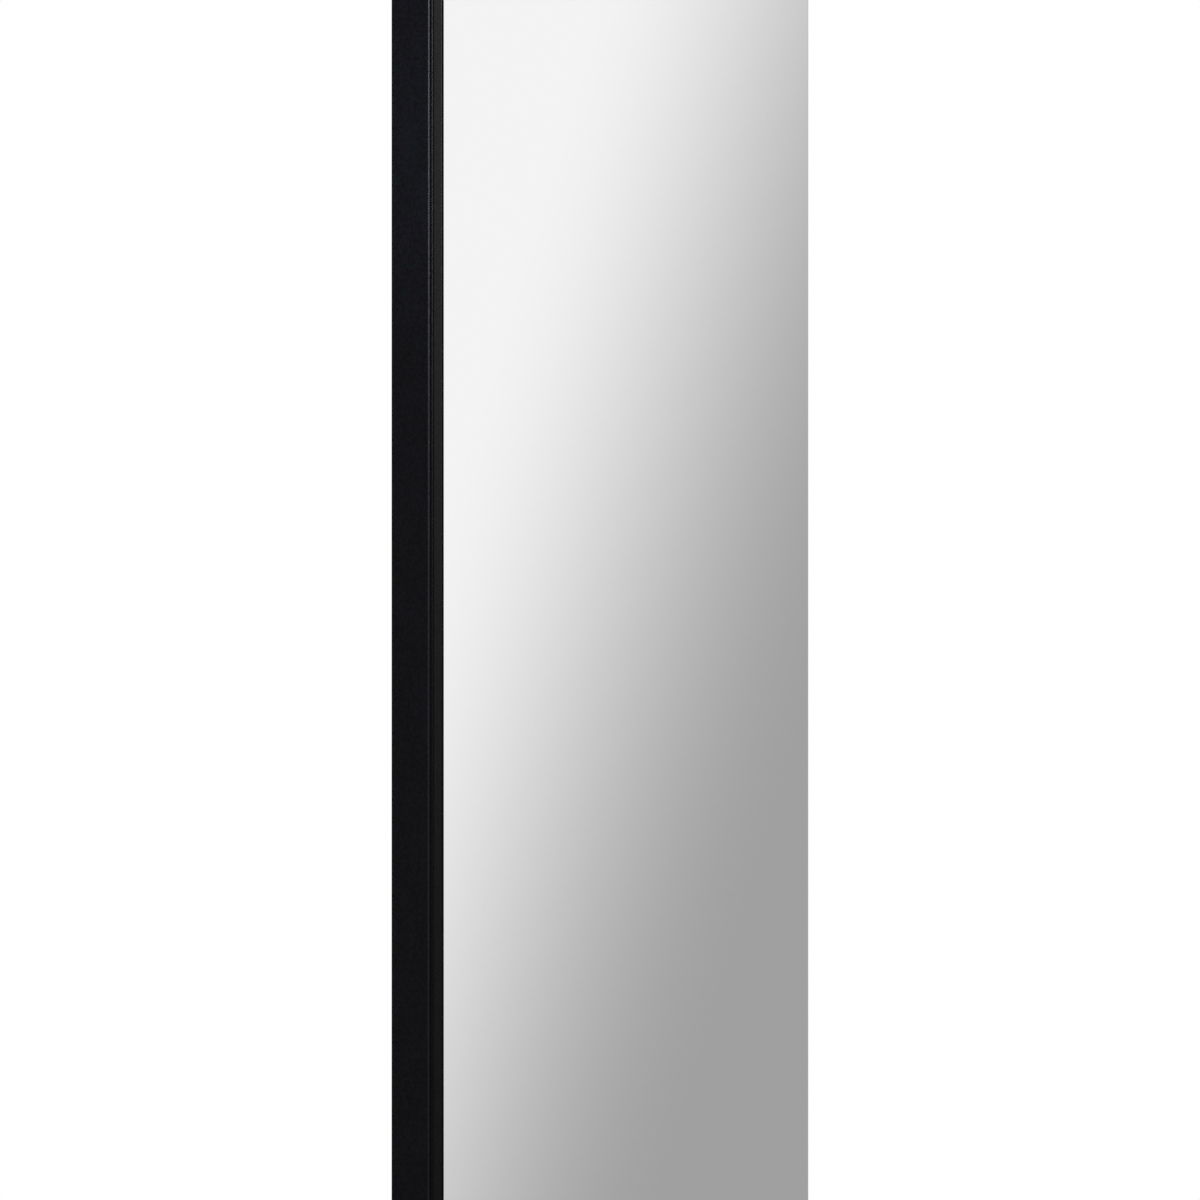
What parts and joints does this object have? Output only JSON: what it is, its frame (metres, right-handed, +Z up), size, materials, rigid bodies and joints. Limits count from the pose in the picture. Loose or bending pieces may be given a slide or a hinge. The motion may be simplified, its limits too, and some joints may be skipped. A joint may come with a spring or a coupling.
{
  "type": "wall mirror",
  "caption": "Tall wall mirror with a black moulded stile along its left edge and bare glass elsewhere, on a backing board with hanging rings and rubber bumpers behind.",
  "frame": {"origin": "middle of the mirror's back, on the wall plane that the bumpers touch", "axes": "+X right as seen from the front, +Y into the wall, +Z up"},
  "size_m": [0.52, 0.036, 1.5],
  "materials": {
    "black_wrap": "satin black decorative wrap on a fibreboard moulding",
    "black_board": "matte black faced fibreboard",
    "black_edging": "satin black edging",
    "black_gasket": "matte black soft strip",
    "silvered_glass": "clear glass, silvered behind, polished edges",
    "grey_film": "pale grey woven backing film",
    "white_foam": "closed cell foam tape",
    "clear_adhesive": "cured neutral adhesive",
    "yellow_zinc": "yellow passivated zinc",
    "bright_zinc": "bright zinc plate",
    "black_rubber": "matte moulded rubber"
  },
  "bodies": {
    "mirror": {"adhesive_bead_1": "clear_adhesive", "adhesive_bead_2": "clear_adhesive", "adhesive_bead_3": "clear_adhesive", "bumper_screws": "bright_zinc", "bumper_washers": "bright_zinc", "carrier_board": "black_board", "edge_band_bottom": "black_edging", "edge_band_right": "black_edging", "edge_band_top": "black_edging", "foam_tape_1": "white_foam", "foam_tape_2": "white_foam", "foam_tape_3": "white_foam", "foam_tape_4": "white_foam", "frame_stile": "black_wrap", "glazing_gasket": "black_gasket", "hanger_screws": "bright_zinc", "hanger_strap_left": "bright_zinc", "hanger_strap_right": "bright_zinc", "mirror_glass": "silvered_glass", "safety_film": "grey_film", "stile_end_cap_bottom": "black_edging", "stile_end_cap_top": "black_edging", "stile_screws": "yellow_zinc", "wall_bumper_bottom_left": "black_rubber", "wall_bumper_bottom_right": "black_rubber", "wall_bumper_top_left": "black_rubber", "wall_bumper_top_right": "black_rubber"},
    "ring_left": {"d_ring_left": "bright_zinc"},
    "ring_right": {"d_ring_right": "bright_zinc"}
  },
  "joints": [
    {"name": "ring_left_swing", "type": "hinge", "parent": "mirror", "child": "ring_left", "pos_m": [-0.172, -0.0045, 0.6], "axis": [1, 0, 0], "range_deg": [0, 180]},
    {"name": "ring_right_swing", "type": "hinge", "parent": "mirror", "child": "ring_right", "pos_m": [0.172, -0.0045, 0.6], "axis": [1, 0, 0], "range_deg": [0, 180]}
  ]
}
